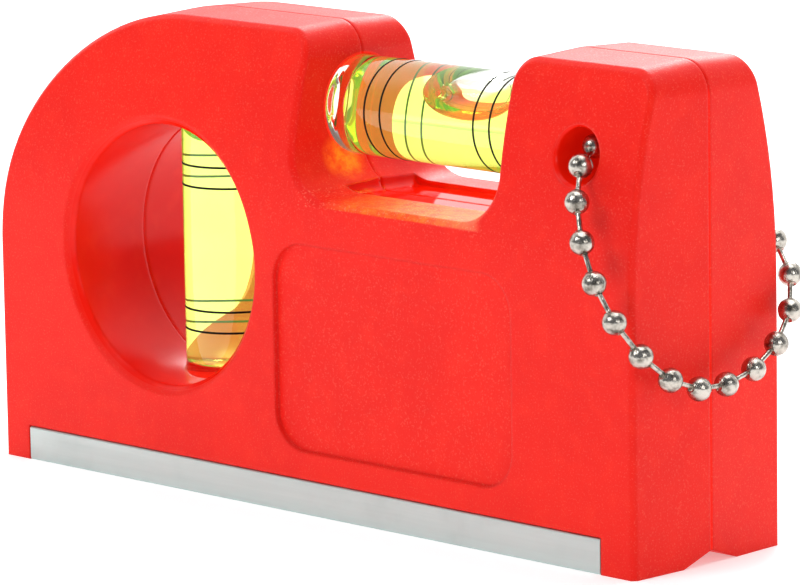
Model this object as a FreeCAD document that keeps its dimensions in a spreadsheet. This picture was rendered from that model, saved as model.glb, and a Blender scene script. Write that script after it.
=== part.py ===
import FreeCAD, Part
import math
import os
import Sketcher

# Pocket level with a round plumb window, a cross vial in a notch and a ball chain.
# Lengths are millimetres. X runs along the base, Y through the thickness (the front is
# -Y), Z up. Drawings count X from the left end; the finished pieces are then moved back
# by half the length, so the origin lies in the middle of the base.

driving = {
    # outside of the body
    "length": 93.4,
    "height": 50.0,
    "half_depth": 10.8,
    "draft_angle": 2.5,
    "left_round": 26.5,
    "top_round": 3.2,
    "face_bend_drop": 22.0,
    "face_bend_radius": 64.0,
    "face_edge_bevel": 0.45,
    "seam_bevel": 0.14,
    # notch for the cross vial
    "notch_width": 28.2,
    "notch_depth": 16.65,
    "notch_round": 4.6,
    # tray sunk in the floor of the notch
    "tray_depth": 0.75,
    "tray_half_width": 5.0,
    "tray_inset": 2.4,
    "tray_round": 1.0,
    # round window for the plumb vial
    "window_drop": 25.4,
    "window_radius": 13.8,
    "window_rim_bevel": 0.9,
    # vee along the base
    "groove_half_width": 3.9,
    "groove_depth": 1.4,
    # panel sunk into the front face
    "panel_width": 33.6,
    "panel_height": 21.6,
    "panel_up": 17.4,
    "panel_depth": 0.5,
    "panel_round": 4.0,
    # metal strips along the base edges
    "strip_height": 3.6,
    "strip_depth": 2.4,
    "strip_left_inset": 4.6,
    "strip_right_inset": 5.0,
    "strip_gap": 0.12,
    "strip_bevel": 0.15,
    # walls, ribs and posts inside the halves
    "wall": 2.0,
    "base_wall": 5.4,
    "window_wall": 1.8,
    "cup_wall": 1.4,
    "eyelet_wall": 1.4,
    "rib_thickness": 1.2,
    "rib_pitch": 8.2,
    "rib_count": 3,
    "post_radius": 2.2,
    "peg_radius": 1.0,
    "peg_reach": 2.4,
    "peg_clearance": 0.08,
    # eyelet for the chain
    "eyelet_inset": 8.85,
    "eyelet_drop": 9.1,
    "eyelet_radius": 2.8,
    "eyelet_bevel": 0.3,
    # vials
    "vial_length": 32.2,
    "vial_radius": 5.15,
    "vial_seat_gap": 0.05,
    "cross_vial_drop": 8.65,
    "closed_end": 3.4,
    "plug_length": 1.6,
    "plug_radius": 4.3,
    "bore_radius": 4.05,
    "line_gap": 13.2,
    "line_pitch": 2.23,
    "line_width": 0.28,
    "line_thickness": 0.03,
    "line_sides": 16,
    # bubbles
    "bubble_length": 12.6,
    "bubble_shift": 2.7,
    "bubble_radius": 2.3,
    "bubble_bevel": 1.1,
    "bubble_clearance": 0.15,
    "bubble_sides": 16,
    "plumb_bubble_height": 3.6,
    "plumb_bubble_radius": 3.6,
    # ball chain
    "bead_count": 21,
    "clasp_bead": 15,
    "bead_radius": 1.24,
    "bead_sides": 8,
    "bead_bands": 3,
    "bead_tip_angle": 56.0,
    "bead_hole_radius": 0.46,
    "link_radius": 0.34,
    "link_sides": 6,
    "link_end_gap": 0.06,
    "link_depth": 0.75,
    "chain_side_gap": 2.5,
    "chain_end_gap": 1.45,
    "chain_drop": 22.2,
    "clasp_wall": 0.22,
    "clasp_clearance": 0.18,
    "clasp_slot": 1.0,
    "clasp_mouth_radius": 1.2,
    "clasp_sides": 12,
    # how far cutting shapes run past what they cut
    "overrun": 3.0,
}

# Where the window's and the notch's middles stand, as shares of the length.
window_share = 0.2741
notch_share = 0.64025

# Places worked out from the driving sizes.
worked_out = {
    "top_over": "Sizes.height + Sizes.overrun",
    "foot": "-Sizes.overrun",
    "deep": "-2 * Sizes.overrun",
    "face_over": "Sizes.half_depth + Sizes.overrun",
    "window_across": "Sizes.length * %s" % window_share,
    "window_up": "Sizes.height - Sizes.window_drop",
    "notch_middle": "Sizes.length * %s" % notch_share,
    "notch_start": "notch_middle - Sizes.notch_width / 2",
    "notch_end": "notch_middle + Sizes.notch_width / 2",
    "notch_floor": "Sizes.height - Sizes.notch_depth",
    "tray_start": "notch_start + Sizes.tray_inset",
    "tray_end": "notch_end - Sizes.tray_inset",
    "tray_floor": "notch_floor - Sizes.tray_depth",
    "tray_top": "notch_floor + Sizes.notch_round",
    "cross_vial_up": "Sizes.height - Sizes.cross_vial_drop",
    "eyelet_up": "Sizes.height - Sizes.eyelet_drop",
    "face_bend_height": "Sizes.height - Sizes.face_bend_drop",
    "face_bend_centre": "Sizes.half_depth - Sizes.face_bend_radius",
    "face_bend_reach": "sqrt(Sizes.face_bend_radius ^ 2 - (top_over - face_bend_height) ^ 2)",
    "face_bend_top": "face_bend_centre + face_bend_reach",
    "panel_left": "notch_middle - Sizes.panel_width / 2",
    "panel_right": "notch_middle + Sizes.panel_width / 2",
    "panel_bottom": "Sizes.panel_up - Sizes.panel_height / 2",
    "panel_top": "Sizes.panel_up + Sizes.panel_height / 2",
    "panel_floor": "Sizes.half_depth - Sizes.panel_depth",
    "strip_back": "Sizes.half_depth - Sizes.strip_depth",
    "strip_length": "Sizes.length - Sizes.strip_left_inset - Sizes.strip_right_inset",
    "slot_length": "strip_length + 2 * Sizes.strip_gap",
    "slot_height": "Sizes.strip_height + Sizes.strip_gap",
    "slot_start": "Sizes.strip_left_inset - Sizes.strip_gap",
    "inner_left": "Sizes.wall",
    "inner_right": "Sizes.length - Sizes.wall",
    "inner_top": "Sizes.height - Sizes.wall",
    "inner_depth": "Sizes.half_depth - Sizes.wall",
    "inner_left_round": "Sizes.left_round - Sizes.wall",
    "inner_top_round": "Sizes.top_round - Sizes.wall / 2",
    "inner_notch_left": "notch_start - Sizes.wall",
    "inner_notch_right": "notch_end + Sizes.wall",
    "inner_notch_floor": "notch_floor - Sizes.wall",
    "inner_notch_round": "Sizes.notch_round + Sizes.wall",
    "inner_bend_top": "face_bend_top - Sizes.wall",
    "window_boss": "Sizes.window_radius + Sizes.window_wall",
    "eyelet_across": "Sizes.length - Sizes.eyelet_inset",
    "eyelet_boss": "Sizes.eyelet_radius + Sizes.eyelet_wall",
    "seat_radius": "Sizes.vial_radius + Sizes.vial_seat_gap",
    "seat_length": "Sizes.vial_length + 2 * Sizes.vial_seat_gap",
    "mouth_length": "Sizes.half_depth + Sizes.overrun",
    "cup_half": "seat_radius + Sizes.cup_wall",
    "vial_middle": "Sizes.vial_length / 2",
    "cross_start": "notch_middle - vial_middle",
    "cross_seat_start": "cross_start - Sizes.vial_seat_gap",
    "cross_seat_end": "cross_seat_start + seat_length",
    "plumb_start": "window_up - vial_middle",
    "plumb_seat_start": "plumb_start - Sizes.vial_seat_gap",
    "plumb_seat_end": "plumb_seat_start + seat_length",
    "cross_cup_left": "cross_start - Sizes.vial_seat_gap - Sizes.cup_wall",
    "cross_cup_length": "seat_length + 2 * Sizes.cup_wall",
    "cross_cup_bottom": "cross_vial_up - cup_half",
    "plumb_cup_left": "window_across - cup_half",
    "plumb_cup_height": "plumb_start + seat_length + Sizes.cup_wall",
    "chamber_end": "Sizes.vial_length - Sizes.plug_length",
    "line_inner": "Sizes.vial_radius / cos(180 / Sizes.line_sides)",
    "line_outer": "line_inner + Sizes.line_thickness",
    "bubble_start": "notch_middle + Sizes.bubble_shift - Sizes.bubble_length / 2",
    "lid_bottom": "chamber_end - Sizes.bubble_clearance",
    "plumb_bubble_bottom": "lid_bottom - Sizes.plumb_bubble_height",
    "bubble_up": "Sizes.bore_radius - Sizes.bubble_clearance - Sizes.bubble_radius",
}

# Where the four reading lines start along each vial, in pairs either side of its middle.
for number, (side, steps) in enumerate([(-1, 1), (-1, 0), (1, 0), (1, 1)]):
    middle = "vial_middle + %d * (Sizes.line_gap / 2 + %d * Sizes.line_pitch)" % (side, steps)
    worked_out["line_%d_start" % number] = middle + " - Sizes.line_width / 2"

# Where the posts that hold the halves in line stand, as shares of length and height.
post_shares = [(0.078, 0.172), (0.944, 0.172)]

# The chain's route round the right end, once through the eyelet and back: shares of its
# reach past the eyelet, of its spread to each side and of its drop below the eyelet.
route_shares = [
    (-0.01, -0.46, -0.03),
    (0.12, -0.71, 0.03),
    (0.42, -0.965, 0.325),
    (0.79, -0.965, 0.665),
    (1.01, -0.63, 0.93),
    (1.005, -0.07, 1.01),
    (0.97, 0.475, 0.89),
    (0.735, 0.85, 0.62),
    (0.27, 0.93, 0.372),
    (-0.03, 0.755, 0.09),
    (-0.06, 0.47, -0.02),
    (-0.02, 0.0, 0.0),
]

doc = FreeCAD.newDocument("pocket_level")
sizes = doc.addObject("Spreadsheet::Sheet", "Sizes")
places = doc.addObject("Spreadsheet::Sheet", "Places")


# One row per size: its name, its value and the name again as the cell's alias.
def fill(sheet, rows, lead):
    for row, (name, content) in enumerate(rows.items(), start=1):
        sheet.set("A%d" % row, name)
        sheet.set("B%d" % row, lead + str(content))
        sheet.setAlias("B%d" % row, name)


fill(sizes, driving, "")
fill(places, worked_out, "=")
doc.recompute()


def cell(name):
    return ("Sizes." if name in driving else "Places.") + name


def value(name):
    if name is None:
        return 0.0
    return float((sizes if name in driving else places).get(name))


# Drawings: a closed run of sides, where each corner is a pair of named places and may be
# rounded. None stands for a place on the drawing's own axis. A side listed in bends is an
# arc instead, with its centre and radius named.
def spot(across, up):
    return FreeCAD.Vector(value(across), value(up), 0)


def pin(sketch, kind, line, end, name):
    if name is None:
        axis = -2 if kind == "DistanceX" else -1
        sketch.addConstraint(Sketcher.Constraint("PointOnObject", line, end, axis))
        return
    index = sketch.addConstraint(Sketcher.Constraint(kind, -1, 1, line, end, value(name)))
    sketch.setExpression("Constraints[%d]" % index, cell(name))


def set_radius(sketch, curve, name):
    index = sketch.addConstraint(Sketcher.Constraint("Radius", curve, value(name)))
    sketch.setExpression("Constraints[%d]" % index, cell(name))


def arc_between(sketch, centre, radius, start, stop):
    circle = Part.Circle(centre, FreeCAD.Vector(0, 0, 1), radius)
    first = math.atan2(start.y - centre.y, start.x - centre.x)
    last = math.atan2(stop.y - centre.y, stop.x - centre.x)
    return sketch.addGeometry(Part.ArcOfCircle(circle, first, last), False)


def outline(sketch, corners, bends={}):
    spots = [spot(corner[0], corner[1]) for corner in corners]
    rounds = [corner[2] if len(corner) > 2 else None for corner in corners]
    count = len(corners)
    ways = [(spots[(i + 1) % count] - spots[i]).normalize() for i in range(count)]
    level = [i not in bends and abs(ways[i].y) < 1e-6 for i in range(count)]
    upright = [i not in bends and abs(ways[i].x) < 1e-6 for i in range(count)]
    halves = [(ways[i - 1] * -1).getAngle(ways[i]) / 2 for i in range(count)]
    cuts = [value(rounds[i]) / math.tan(halves[i]) if rounds[i] else 0 for i in range(count)]
    sides = []
    for i in range(count):
        start = spots[i] + ways[i] * cuts[i]
        stop = spots[(i + 1) % count] - ways[i] * cuts[(i + 1) % count]
        if i in bends:
            across, up, radius = bends[i]
            sides.append(arc_between(sketch, spot(across, up), value(radius), start, stop))
            pin(sketch, "DistanceX", sides[i], 3, across)
            pin(sketch, "DistanceY", sides[i], 3, up)
            set_radius(sketch, sides[i], radius)
            continue
        sides.append(sketch.addGeometry(Part.LineSegment(start, stop), False))
        if level[i]:
            sketch.addConstraint(Sketcher.Constraint("Horizontal", sides[i]))
            pin(sketch, "DistanceY", sides[i], 1, corners[i][1])
        if upright[i]:
            sketch.addConstraint(Sketcher.Constraint("Vertical", sides[i]))
            pin(sketch, "DistanceX", sides[i], 1, corners[i][0])
    for i in range(count):
        if rounds[i]:
            reach = value(rounds[i]) / math.sin(halves[i])
            centre = spots[i] + (ways[i] - ways[i - 1]).normalize() * reach
            entry = spots[i] - ways[i - 1] * cuts[i]
            leave = spots[i] + ways[i] * cuts[i]
            left_turn = ways[i - 1].cross(ways[i]).z > 0
            ends = (entry, leave) if left_turn else (leave, entry)
            arc = arc_between(sketch, centre, value(rounds[i]), *ends)
            first, last = (1, 2) if left_turn else (2, 1)
            sketch.addConstraint(Sketcher.Constraint("Tangent", sides[i - 1], 2, arc, first))
            sketch.addConstraint(Sketcher.Constraint("Tangent", arc, last, sides[i], 1))
            set_radius(sketch, arc, rounds[i])
            continue
        sketch.addConstraint(Sketcher.Constraint("Coincident", sides[i - 1], 2, sides[i], 1))
        if i in bends or (i - 1) % count in bends:
            continue
        if not (upright[i] or upright[i - 1]):
            pin(sketch, "DistanceX", sides[i], 1, corners[i][0])
        if not (level[i] or level[i - 1]):
            pin(sketch, "DistanceY", sides[i], 1, corners[i][1])


def ring(sketch, across, up, radius):
    circle = Part.Circle(spot(across, up), FreeCAD.Vector(0, 0, 1), value(radius))
    index = sketch.addGeometry(circle, False)
    pin(sketch, "DistanceX", index, 3, across)
    pin(sketch, "DistanceY", index, 3, up)
    set_radius(sketch, index, radius)


def drawing(body, name, plane, **offsets):
    sketch = body.newObject("Sketcher::SketchObject", name)
    origin = [f for f in body.Origin.OriginFeatures if f.Role == plane][0]
    sketch.AttachmentSupport = [(origin, "")]
    sketch.MapMode = "FlatFace"
    for axis, expression in offsets.items():
        sketch.setExpression("AttachmentOffset.Base." + axis, expression)
    return sketch


def feature(body, kind, name, sketch, bound={}, **values):
    item = body.newObject("PartDesign::" + kind, name)
    item.Profile = sketch
    for key, content in values.items():
        setattr(item, key, content)
    for key, expression in bound.items():
        item.setExpression(key, expression)
    doc.recompute()
    return item


def dress(body, kind, name, wanted, key, expression):
    base = body.Tip
    edges = ["Edge%d" % i for i, edge in enumerate(base.Shape.Edges, start=1) if wanted(edge)]
    item = body.newObject("PartDesign::" + kind, name)
    item.Base = (base, edges)
    item.setExpression(key, expression)
    doc.recompute()
    return item


# Five places along an edge, ends included.
def along(edge):
    first, last = edge.ParameterRange
    return [edge.valueAt(first + (last - first) * step / 4) for step in range(5)]


def face_at(up):
    rise = max(up - value("face_bend_height"), 0)
    bend = value("face_bend_radius")
    return value("half_depth") - bend + math.sqrt(bend ** 2 - rise ** 2)


near = value("overrun") / 1000


# Takes off what lies outside the bend of the face, or the plain slope of the wall behind it.
def bend_cut(body, name, start, top, bends={}):
    sketch = drawing(body, name + "_drawing", "YZ_Plane")
    outline(sketch, [
        (start, "face_bend_height"),
        (top, "top_over"),
        ("face_over", "top_over"),
        ("face_over", "face_bend_height"),
    ], bends)
    feature(body, "Pocket", name, sketch, Type="ThroughAll", Midplane=True)


# One moulded half, drawn on the rear side of the seam: drafted outside, bent face, vee and
# strip slot along the base, window, eyelet, tray under the cross vial and both vials' seats.
def half_form(name, with_panel):
    body = doc.addObject("PartDesign::Body", name)
    plan = drawing(body, name + "_plan", "XZ_Plane")
    outline(plan, [
        (None, "foot"),
        ("length", "foot"),
        ("length", "height", "top_round"),
        ("notch_end", "height", "top_round"),
        ("notch_end", "notch_floor", "notch_round"),
        ("notch_start", "notch_floor", "notch_round"),
        ("notch_start", "height", "top_round"),
        (None, "height", "left_round"),
    ])
    feature(body, "Pad", name + "_block", plan, Reversed=True, bound={
        "Length": "Sizes.half_depth", "TaperAngle": "-Sizes.draft_angle"})
    bend_cut(body, name + "_bend", "half_depth", "face_bend_top",
             {0: ("face_bend_centre", "face_bend_height", "face_bend_radius")})

    base = drawing(body, name + "_base_drawing", "YZ_Plane")
    outline(base, [
        (None, "groove_depth"),
        (None, "deep"),
        ("face_over", "deep"),
        ("face_over", None),
        ("groove_half_width", None),
    ])
    feature(body, "Pocket", name + "_base", base, Type="ThroughAll", Midplane=True)

    def face_edge(edge):
        spots = along(edge)
        on_face = all(p.y > face_at(p.z) - near for p in spots)
        on_base = all(p.z < near for p in spots)
        crease = all(abs(p.z - value("face_bend_height")) < near for p in spots)
        return on_face and not on_base and not crease

    dress(body, "Chamfer", name + "_face_edges", face_edge, "Size", "Sizes.face_edge_bevel")

    holes = drawing(body, name + "_holes", "XZ_Plane")
    ring(holes, "window_across", "window_up", "window_radius")
    ring(holes, "eyelet_across", "eyelet_up", "eyelet_radius")
    feature(body, "Pocket", name + "_bores", holes, Type="ThroughAll")

    # The edge of a bore where it meets the face.
    def rim(across, up, radius):
        def wanted(edge):
            spots = along(edge)
            outer = all(p.y > value("half_depth") / 2 for p in spots)
            reach = [math.hypot(p.x - value(across), p.z - value(up)) for p in spots]
            return outer and all(abs(r - value(radius)) < near for r in reach)
        return wanted

    dress(body, "Chamfer", name + "_window_rim", rim("window_across", "window_up", "window_radius"),
          "Size", "Sizes.window_rim_bevel")
    dress(body, "Chamfer", name + "_eyelet_rim", rim("eyelet_across", "eyelet_up", "eyelet_radius"),
          "Size", "Sizes.eyelet_bevel")

    if with_panel:
        panel = drawing(body, name + "_panel_drawing", "XZ_Plane", z="-Places.panel_floor")
        outline(panel, [
            ("panel_left", "panel_bottom", "panel_round"),
            ("panel_right", "panel_bottom", "panel_round"),
            ("panel_right", "panel_top", "panel_round"),
            ("panel_left", "panel_top", "panel_round"),
        ])
        feature(body, "Pocket", name + "_panel", panel, Type="ThroughAll")

    slot = drawing(body, name + "_slot_drawing", "YZ_Plane", z="Places.slot_start")
    outline(slot, [
        ("strip_back", "foot"),
        ("face_over", "foot"),
        ("face_over", "slot_height"),
        ("strip_back", "slot_height"),
    ])
    feature(body, "Pocket", name + "_slot", slot, Reversed=True, bound={
        "Length": "Places.slot_length"})

    # The tray lies on both sides of the seam, half of it in each moulding.
    tray = drawing(body, name + "_tray_drawing", "XZ_Plane")
    outline(tray, [
        ("tray_start", "tray_floor", "tray_round"),
        ("tray_end", "tray_floor", "tray_round"),
        ("tray_end", "tray_top"),
        ("tray_start", "tray_top"),
    ])
    feature(body, "Pocket", name + "_tray", tray, bound={"Length": "Sizes.tray_half_width"})

    def seam_edge(edge):
        spots = along(edge)
        on_seam = all(abs(p.y) < near for p in spots)
        vee = all(p.z < value("groove_depth") + near for p in spots)
        eyelet = [math.hypot(p.x - value("eyelet_across"), p.z - value("eyelet_up")) for p in spots]
        return on_seam and not vee and min(eyelet) > value("eyelet_radius") + near

    dress(body, "Chamfer", name + "_seam", seam_edge, "Size", "Sizes.seam_bevel")

    cross = drawing(body, name + "_cross_drawing", "XZ_Plane", y="Places.cross_vial_up")
    outline(cross, [
        ("cross_seat_start", None),
        ("cross_seat_end", None),
        ("cross_seat_end", "seat_radius"),
        ("cross_seat_start", "seat_radius"),
    ])
    feature(body, "Groove", name + "_cross_seat", cross, ReferenceAxis=(cross, ["H_Axis"]),
            Angle=360)
    plumb = drawing(body, name + "_plumb_drawing", "XZ_Plane", x="Places.window_across")
    outline(plumb, [
        (None, "plumb_seat_start"),
        ("seat_radius", "plumb_seat_start"),
        ("seat_radius", "plumb_seat_end"),
        (None, "plumb_seat_end"),
    ])
    feature(body, "Groove", name + "_plumb_seat", plumb, ReferenceAxis=(plumb, ["V_Axis"]),
            Angle=360)
    return body


# Solids that stand across the thickness of a half: from the seam to the inside of the face.
def upright_cylinder(name, across, up, radius, deep="Places.mouth_length", from_seam="0"):
    item = doc.addObject("Part::Cylinder", name)
    item.Placement.Rotation = FreeCAD.Rotation(FreeCAD.Vector(1, 0, 0), -90)
    item.setExpression("Radius", radius)
    item.setExpression("Height", deep)
    item.setExpression("Placement.Base.x", across)
    item.setExpression("Placement.Base.y", from_seam)
    item.setExpression("Placement.Base.z", up)
    return item


def upright_box(name, across, up, width, tall):
    item = doc.addObject("Part::Box", name)
    item.setExpression("Length", width)
    item.setExpression("Width", "Places.mouth_length")
    item.setExpression("Height", tall)
    item.setExpression("Placement.Base.x", across)
    item.setExpression("Placement.Base.z", up)
    return item


def joined(name, items):
    item = doc.addObject("Part::MultiFuse", name)
    item.Shapes = items
    return item


def less(name, base, tool):
    item = doc.addObject("Part::Cut", name)
    item.Base = base
    item.Tool = tool
    return item


# The space inside a half: the outside drawn in by the wall, less the bosses, cups, ribs and
# posts that stand in it.
def hollow():
    core = doc.addObject("PartDesign::Body", "core")
    plan = drawing(core, "core_plan", "XZ_Plane")
    outline(plan, [
        ("inner_left", "base_wall"),
        ("inner_right", "base_wall"),
        ("inner_right", "inner_top", "inner_top_round"),
        ("inner_notch_right", "inner_top", "inner_top_round"),
        ("inner_notch_right", "inner_notch_floor", "inner_notch_round"),
        ("inner_notch_left", "inner_notch_floor", "inner_notch_round"),
        ("inner_notch_left", "inner_top", "inner_top_round"),
        ("inner_left", "inner_top", "inner_left_round"),
    ])
    feature(core, "Pad", "core_block", plan, Reversed=True, bound={"Length": "Places.inner_depth"})
    bend_cut(core, "core_bend", "inner_depth", "inner_bend_top")

    kept = [
        upright_cylinder("window_boss_solid", "Places.window_across", "Places.window_up",
                         "Places.window_boss"),
        upright_cylinder("eyelet_boss_solid", "Places.eyelet_across", "Places.eyelet_up",
                         "Places.eyelet_boss"),
        upright_box("cross_cup", "Places.cross_cup_left", "Places.cross_cup_bottom",
                    "Places.cross_cup_length", "2 * Places.cup_half"),
        upright_box("plumb_cup", "Places.plumb_cup_left", "0",
                    "2 * Places.cup_half", "Places.plumb_cup_height"),
    ]
    for number in range(int(value("rib_count"))):
        step = "(%d - (Sizes.rib_count - 1) / 2) * Sizes.rib_pitch" % number
        across = "Places.notch_middle + " + step + " - Sizes.rib_thickness / 2"
        kept.append(upright_box("rib_%d" % number, across, "0", "Sizes.rib_thickness",
                                "Places.notch_floor"))
    for number, (along_share, up_share) in enumerate(post_shares):
        kept.append(upright_cylinder("post_%d" % number, "Sizes.length * %s" % along_share,
                                     "Sizes.height * %s" % up_share, "Sizes.post_radius"))
    return less("cavity", core, joined("kept_solids", kept))


def pegs(name, grown, reach):
    items = []
    for number, (along_share, up_share) in enumerate(post_shares):
        items.append(upright_cylinder(
            "%s_%d" % (name, number), "Sizes.length * %s" % along_share,
            "Sizes.height * %s" % up_share, "Sizes.peg_radius" + grown,
            "2 * (%s)" % reach, "-(%s)" % reach))
    return items


def mirrored(name, source):
    item = doc.addObject("Part::Mirroring", name)
    item.Source = source
    item.Normal = FreeCAD.Vector(0, 1, 0)
    return item


pieces = []


# Names a finished piece and moves it from the drawings' place to the middle of the base.
def finish(item, label, across="0", up="0", turn=None):
    item.Label = label
    if turn:
        item.Placement.Rotation = turn
    item.setExpression("Placement.Base.x", across + " - Sizes.length / 2")
    item.setExpression("Placement.Base.z", up)
    pieces.append(item)
    return item


def shells():
    cavity = hollow()
    front_half = less("front_half", half_form("front_form", True), cavity)
    front_pegged = joined("front_pegged", [front_half] + pegs("peg", "", "Sizes.peg_reach"))
    finish(mirrored("front_piece", front_pegged), "front_shell")
    rear_half = less("rear_half", half_form("rear_form", False), cavity)
    sockets = pegs("socket", " + Sizes.peg_clearance", "Sizes.peg_reach + Sizes.peg_clearance")
    finish(less("rear_piece", rear_half, joined("socket_solids", sockets)), "rear_shell")


def edge_strips():
    body = doc.addObject("PartDesign::Body", "strip")
    section = drawing(body, "strip_section", "YZ_Plane")
    outline(section, [
        ("strip_back", None),
        ("half_depth", None),
        ("half_depth", "strip_height"),
        ("strip_back", "strip_height"),
    ])
    feature(body, "Pad", "strip_bar", section, bound={"Length": "Places.strip_length"})

    def long_outer(edge):
        return all(p.y > value("half_depth") - near for p in along(edge)) and edge.Length > (
            value("strip_length") / 2)

    dress(body, "Chamfer", "strip_bevels", long_outer, "Size", "Sizes.strip_bevel")
    body.setExpression("Placement.Base.x", "Sizes.strip_left_inset")
    finish(mirrored("front_strip", body), "front_edge_strip")
    finish(copied("rear_strip", body), "rear_edge_strip")


# Turned pieces are drawn along the vial's own axis, from its closed end.
def turned(name, corners):
    body = doc.addObject("PartDesign::Body", name)
    profile = drawing(body, name + "_profile", "XZ_Plane")
    outline(profile, corners)
    feature(body, "Revolution", name + "_turn", profile, ReferenceAxis=(profile, ["H_Axis"]),
            Angle=360)
    return body


level_turn = FreeCAD.Rotation()
upright_turn = FreeCAD.Rotation(FreeCAD.Vector(0, 1, 0), -90)


# A reading line: a flat ring with enough sides to hug the tube.
def printed_line(name, number):
    rings = []
    for part, radius in (("inner", "Places.line_inner"), ("outer", "Places.line_outer")):
        ring_solid = doc.addObject("Part::Prism", "%s_%s" % (name, part))
        ring_solid.Placement.Rotation = FreeCAD.Rotation(FreeCAD.Vector(0, 1, 0), 90)
        ring_solid.setExpression("Polygon", "Sizes.line_sides")
        ring_solid.setExpression("Circumradius", radius)
        ring_solid.setExpression("Height", "Sizes.line_width")
        ring_solid.setExpression("Placement.Base.x", "Places.line_%d_start" % number)
        rings.append(ring_solid)
    return less(name, rings[1], rings[0])


# The moulded acrylic tube with its closed end, the plug glued into the open end, the four
# reading lines and the liquid's chamber, all placed alike.
def vial(prefix, across, up, turn, bubble):
    tube = turned(prefix + "_tube", [
        (None, None),
        (None, "vial_radius"),
        ("vial_length", "vial_radius"),
        ("vial_length", "plug_radius"),
        ("chamber_end", "plug_radius"),
        ("chamber_end", "bore_radius"),
        ("closed_end", "bore_radius"),
        ("closed_end", None),
    ])
    finish(tube, prefix + "_vial_tube", across, up, turn)

    plug = turned(prefix + "_plug", [
        ("chamber_end", None),
        ("vial_length", None),
        ("vial_length", "plug_radius"),
        ("chamber_end", "plug_radius"),
    ])
    finish(plug, prefix + "_vial_plug", across, up, turn)

    lines = doc.addObject("Part::Compound", prefix + "_lines")
    lines.Links = [printed_line("%s_line_%d" % (prefix, number), number) for number in range(4)]
    finish(lines, prefix + "_vial_lines", across, up, turn)

    chamber = turned(prefix + "_chamber", [
        ("closed_end", None),
        ("chamber_end", None),
        ("chamber_end", "bore_radius"),
        ("closed_end", "bore_radius"),
    ])
    chamber.Placement.Rotation = turn
    chamber.setExpression("Placement.Base.x", across)
    chamber.setExpression("Placement.Base.z", up)
    finish(less(prefix + "_fluid", chamber, bubble), prefix + "_vial_liquid")


# An air bubble: a many-sided bar with bevelled ends, drawn upright.
def air(name, length, radius):
    body = doc.addObject("PartDesign::Body", name)
    bar = body.newObject("PartDesign::AdditivePrism", name + "_bar")
    bar.setExpression("Polygon", "Sizes.bubble_sides")
    bar.setExpression("Circumradius", "Sizes." + radius)
    bar.setExpression("Height", "Sizes." + length)
    doc.recompute()

    def end_edge(edge):
        rises = [p.z for p in along(edge)]
        return max(rises) < near or min(rises) > value(length) - near

    dress(body, "Chamfer", name + "_ends", end_edge, "Size", "Sizes.bubble_bevel")
    return body


# The cross vial's bubble lies along the top of its bore, a little to the right of its middle
# as when the level leans. The plumb vial's bubble fills the top end of its bore.
def vials():
    bubble = air("cross_air", "bubble_length", "bubble_radius")
    bubble.Placement.Rotation = FreeCAD.Rotation(FreeCAD.Vector(0, 1, 0), 90)
    bubble.setExpression("Placement.Base.x", "Places.bubble_start")
    bubble.setExpression("Placement.Base.z", "Places.cross_vial_up + Places.bubble_up")
    vial("cross", "Places.cross_start", "Places.cross_vial_up", level_turn, bubble)
    finish(copied("cross_air_piece", bubble), "cross_vial_bubble")

    cap = air("plumb_air", "plumb_bubble_height", "plumb_bubble_radius")
    cap.setExpression("Placement.Base.x", "Places.window_across")
    cap.setExpression("Placement.Base.z", "Places.plumb_start + Places.plumb_bubble_bottom")
    vial("plumb", "Places.window_across", "Places.plumb_start", upright_turn, cap)
    finish(copied("plumb_air_piece", cap), "plumb_vial_bubble")


# The same solid again, so that it can be moved without moving the cut it made.
def copied(name, source):
    item = doc.addObject("Part::Compound", name)
    item.Links = [source]
    return item


# The chain: hollowed beads on short wires, at equal steps along a closed route. The clasp
# joins two of them behind the body.
def chain_places():
    reach = value("eyelet_inset") + value("bead_radius") + value("chain_end_gap")
    spread = value("half_depth") + value("bead_radius") + value("chain_side_gap")
    drop = value("chain_drop")
    route = []
    for reach_share, spread_share, drop_share in route_shares:
        route.append(FreeCAD.Vector(value("eyelet_across") + reach_share * reach,
                                    spread_share * spread,
                                    value("eyelet_up") - drop_share * drop))
    curve = Part.BSplineCurve()
    curve.interpolate(Points=route, PeriodicFlag=True)
    loop = curve.toShape()
    count = int(value("bead_count"))
    step = loop.Length / count
    return [loop.valueAt(loop.getParameterByLength(step * number)) for number in range(count)]


# Corners evenly round a place, square to the given direction, with the first one again last.
def corners_round(centre, way, radius, sides):
    turn = FreeCAD.Rotation(FreeCAD.Vector(0, 0, 1), way)
    spots = []
    for number in range(sides + 1):
        angle = math.radians(360 * number / sides)
        spoke = FreeCAD.Vector(math.cos(angle), math.sin(angle), 0)
        spots.append(centre + turn.multVec(spoke) * radius)
    return spots


def flat(spots):
    return Part.Face(Part.makePolygon(spots))


def rod(start, stop, radius, sides="link_sides"):
    return flat(corners_round(start, stop - start, radius, int(value(sides)))).extrude(stop - start)


# A bead with flat facets, in bands from tip to tip along the chain.
def bead(centre, way):
    tip = value("bead_tip_angle")
    bands = int(value("bead_bands"))
    sides = int(value("bead_sides"))
    rounds = []
    for number in range(bands + 1):
        angle = math.radians(2 * tip * number / bands - tip)
        middle = centre + way * math.sin(angle) * value("bead_radius")
        radius = math.cos(angle) * value("bead_radius")
        rounds.append(corners_round(middle, way, radius, sides))
    faces = [flat(rounds[0]), flat(rounds[-1])]
    for low, high in zip(rounds, rounds[1:]):
        for side in range(sides):
            faces.append(flat([low[side], low[side + 1], high[side + 1], high[side], low[side]]))
    solid = Part.makeSolid(Part.makeShell(faces))
    return solid if solid.Volume > 0 else solid.reversed()


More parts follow.
